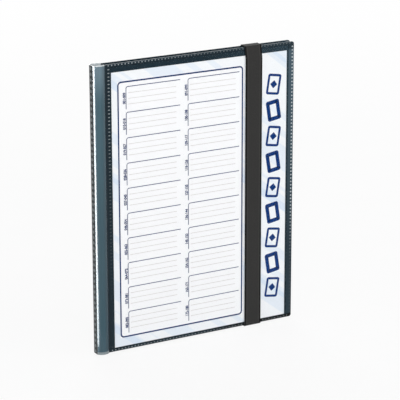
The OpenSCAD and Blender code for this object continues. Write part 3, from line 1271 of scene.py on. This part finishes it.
for number in range(LEAN_STEPS):
    rim = sweep_straight(bm, rim, (0, 0, LEAN_RUN / LEAN_STEPS))
rim = sweep_bend(bm, rim, FRONT_Y, TOP_Z)
rim = sweep_straight(bm, rim, (0, rear_bend - FRONT_Y, 0))
rim = sweep_bend(bm, rim, rear_bend, TOP_Z)
sweep_straight(bm, rim, (0, 0, -TAB))
bmesh.ops.holes_fill(bm, edges=open_rim(bm.edges))
print("band from", [round(min(v.co[i] for v in bm.verts), 2) for i in range(3)],
      "to", [round(max(v.co[i] for v in bm.verts), 2) for i in range(3)])

# %% Lay the pattern along the tape and let it lean
LEAN = 1.4


def tape_length(place):
    """How far along the tape a place is: up the front, and on over the ends."""
    if place.y < FRONT_Y:
        return place.z
    if place.z > TOP_Z:
        return TOP_Z + place.y - FRONT_Y
    if place.z < FOOT_Z:
        return FOOT_Z - (place.y - FRONT_Y)
    middle = (TOP_Z + FOOT_Z) / 2
    return TOP_Z + ALBUM_T + TOP_Z - place.z if place.z > middle else FOOT_Z - ALBUM_T - place.z + FOOT_Z


def lean(length):
    """How far the tape is pulled towards the spine: most of all where it leaves the front at the top."""
    share = min((length - TOP_Z) / LEAN_RUN + 1, (TOP_Z - length) / ALBUM_T + 1)
    share = min(max(share, 0.0), 1.0)
    return LEAN * share ** 2 * (3 - 2 * share)


tape = bm.loops.layers.uv.new("tape")
for face in bm.faces:
    for loop in face.loops:
        loop[tape].uv = (loop.vert.co.x - band_low.x, tape_length(loop.vert.co))
for vert in bm.verts:
    vert.co.x -= lean(tape_length(vert.co))
band = make_piece(bm, "elastic_tape", [webbing], "back_cover", sharp=50)
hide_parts("elastic_band")
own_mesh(band)

# %% [markdown]
# ## Rivets
# Two tubular rivets hold the band's ends on the back cover. Half a section, spun once about the rivet's
# axis, gives the rolled head with its hollow middle, the shank, and the flat foot inside the cover.

# %% Rivets
rivet_low, rivet_high = box_mm("band_rivets")
HEAD_R = (rivet_high.x - rivet_low.x) / 2
SHANK_R = 1.5
FOOT_T = 0.3
head_foot = band_high.y
HALF_SECTION = [
    # radius, y
    (0.0, rivet_low.y),
    (HEAD_R, rivet_low.y),
    (HEAD_R, rivet_low.y + FOOT_T),
    (SHANK_R, rivet_low.y + FOOT_T),
    (SHANK_R, head_foot),
    (HEAD_R - 0.1, head_foot),
    (HEAD_R, head_foot + 0.18),
    (HEAD_R - 0.15, head_foot + 0.38),
    (HEAD_R - 0.6, rivet_high.y - 0.08),
    (HEAD_R - 1.1, rivet_high.y),
    (HEAD_R - 1.6, rivet_high.y - 0.06),
    (SHANK_R, rivet_high.y - 0.22),
    (SHANK_R - 0.35, rivet_high.y - 0.5),
    (0.0, rivet_high.y - 0.55),
]

bm = bmesh.new()
for middle in (rivet_low.z + HEAD_R, rivet_high.z - HEAD_R):
    outline = [bm.verts.new((band_mid, HALF_SECTION[0][1], middle))]
    for radius, y in HALF_SECTION[1:]:
        outline.append(extrude_point(bm, outline[-1], (band_mid + radius, y, middle)))
    bmesh.ops.spin(
        bm, geom=edges_at(outline), cent=(band_mid, 0, middle), axis=(0, 1, 0),
        angle=math.tau, steps=36, use_merge=True,
    )
bmesh.ops.remove_doubles(bm, verts=bm.verts[:], dist=MERGE)
rivets = make_piece(bm, "band_eyelets", [rivet_metal], "back_cover", sharp=40)
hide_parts("band_rivets")

# %% [markdown]
# ## Welds of the leaves
# A leaf is a backing film with three strips of pocket film. Welds close each strip at its foot and divide
# it into three pockets. The weld is a flat rib, thinner than the gap between two leaves, so it is one small
# bevelled bar, repeated on every leaf.

# %% Leaf welds
RIB_W = 1.6
RIB_T = 0.05
RIB_SUNK = 0.02
RIB_ROUND = 0.04
RIB_FOOT = 0.6
RIB_TOP = 0.4
RIB_END = 0.8
FIRST_RIB = 0.5
LAST_RIB = 1.1


def rib(bm, left, right, low, high, face_y):
    """A flat bar on the outer face of the pockets, sunk a little into it."""
    middle = ((left + right) / 2, face_y - (RIB_T - RIB_SUNK) / 2, (low + high) / 2)
    made = draw_box(bm, (right - left, RIB_T + RIB_SUNK, high - low), middle)
    outer = [edge for edge in edges_at(made) if all(vert.co.y < face_y for vert in edge.verts)]
    round_edges(bm, outer, RIB_ROUND)


def leaf_welds(name):
    """One weld along the foot of each strip of pockets, and four up it."""
    low, high = box_mm(name + "_pockets")
    backing_low, backing_high = box_mm(name + "_sheet")
    row_h = (backing_high.z - backing_low.z) / POCKET_ROWS
    strip_h = high.z - (low.z + (POCKET_ROWS - 1) * row_h)
    first = low.x + RIB_W / 2 + FIRST_RIB
    last = high.x - RIB_W / 2 - LAST_RIB
    bm = bmesh.new()
    for row in range(POCKET_ROWS):
        foot = low.z + row * row_h
        weld_top = foot + RIB_FOOT + RIB_W
        rib(bm, low.x, high.x - RIB_END, foot + RIB_FOOT, weld_top, low.y)
        for column in range(POCKETS_ACROSS + 1):
            middle = first + (last - first) * column / POCKETS_ACROSS
            rib(bm, middle - RIB_W / 2, middle + RIB_W / 2, weld_top, foot + strip_h - RIB_TOP, low.y)
    make_piece(bm, name + "_welds", [pocket_weld], name)


for name in leaf_names:
    leaf_welds(name)

# %% [markdown]
# ## Size
# The looks may not change the object's size. Only the beads on the spine's weld reach past the CAD box, by
# their own height.
